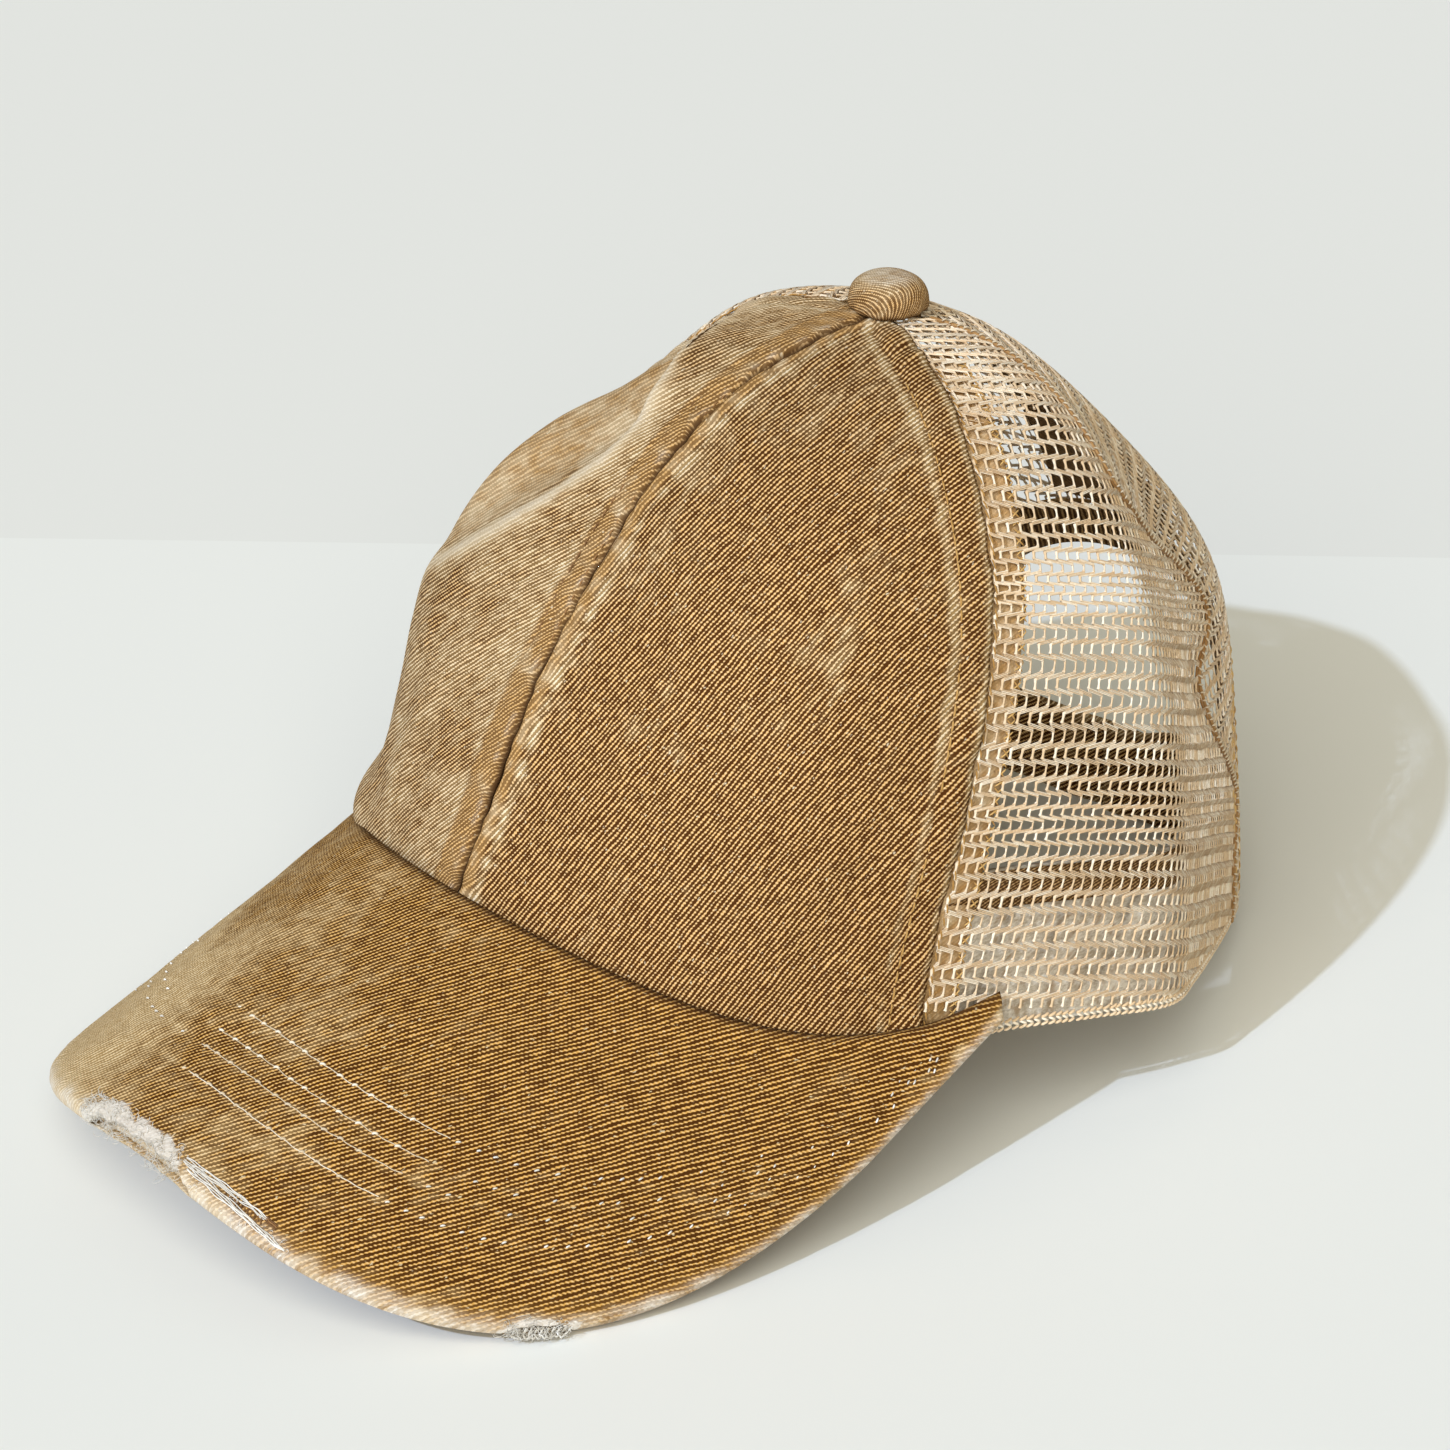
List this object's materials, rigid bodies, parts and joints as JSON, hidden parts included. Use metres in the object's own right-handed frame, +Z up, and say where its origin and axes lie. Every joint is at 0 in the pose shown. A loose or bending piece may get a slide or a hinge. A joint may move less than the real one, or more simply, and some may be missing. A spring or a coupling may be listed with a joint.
{
  "type": "trucker cap",
  "caption": "Soft cap with twill front panels, net side and rear panels, a curved visor on a board, a covered button, a sweatband and a rear opening with a closure strap.",
  "frame": {"origin": "on the ground under the middle of the whole cap", "axes": "+Z up, +Y towards the back of the head, +X towards the wearer's left; the visor points along -Y"},
  "size_m": [0.157, 0.248, 0.1379],
  "materials": {
    "twill": "washed golden khaki cotton twill, abraded pale along its folds and edges",
    "net": "tan knitted net of oval holes",
    "visor_board": "stiff tan board inside the visor",
    "sweatband": "folded cotton twill band, pale on its back",
    "binding": "dark khaki twill tape and binding",
    "strap": "dark khaki woven strap"
  },
  "bodies": {
    "root": {"front_panel_left": "twill", "front_panel_right": "twill", "side_mesh_left": "net", "side_mesh_right": "net", "rear_mesh_left": "net", "rear_mesh_right": "net", "opening_binding": "binding", "rear_seam_tape": "binding", "sweatband": "sweatband", "strap_left": "strap", "strap_right": "strap", "top_button": "twill", "visor_top": "twill", "visor_board": "visor_board", "visor_under": "twill"}
  },
  "joints": []
}
